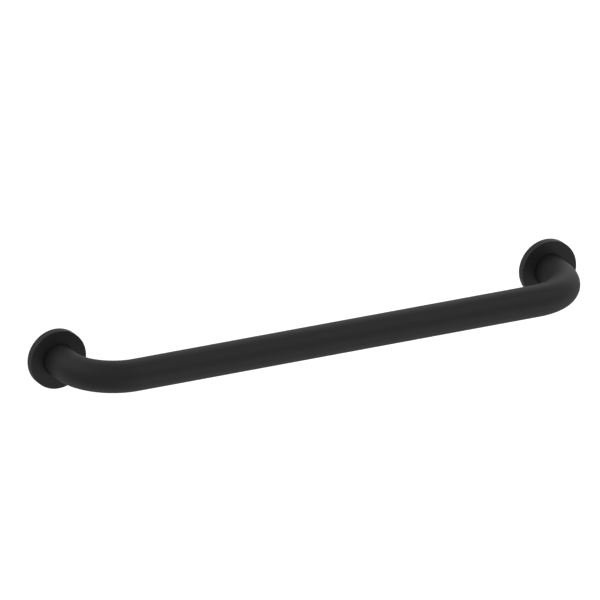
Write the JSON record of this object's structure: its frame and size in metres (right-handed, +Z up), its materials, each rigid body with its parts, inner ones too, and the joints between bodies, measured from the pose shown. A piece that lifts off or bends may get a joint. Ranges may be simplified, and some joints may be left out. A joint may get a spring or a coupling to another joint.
{
  "type": "grab bar",
  "caption": "Straight wall grab bar: a matt black bent tube welded to round mounting plates, whose screws are hidden by round push-on covers that slide along the tube.",
  "frame": {"origin": "on the wall face, midway between the two fixing centres, where the line through the outward screw hole of each plate is halved", "axes": "+X along the bar, to the right for someone facing the wall; +Y into the wall, so the grip stands out towards -Y; +Z up"},
  "size_m": [0.6, 0.0935, 0.06],
  "materials": {
    "black_powder_coat": "matt black powder coat on stainless steel",
    "black_rubber": "moulded rubber cord, dull"
  },
  "bodies": {
    "bar": {"bar_tube": "black_powder_coat", "left_mounting_plate": "black_powder_coat", "right_mounting_plate": "black_powder_coat", "left_weld_bead": "black_powder_coat", "right_weld_bead": "black_powder_coat"},
    "left_cover": {"left_cover": "black_powder_coat", "left_grip_ring": "black_rubber"},
    "right_cover": {"right_cover": "black_powder_coat", "right_grip_ring": "black_rubber"}
  },
  "joints": [
    {"name": "left_cover_slide", "type": "slide", "parent": "bar", "child": "left_cover", "axis": [0, -1, 0], "range_m": [0, 0.019]},
    {"name": "right_cover_slide", "type": "slide", "parent": "bar", "child": "right_cover", "axis": [0, -1, 0], "range_m": [0, 0.019]}
  ]
}
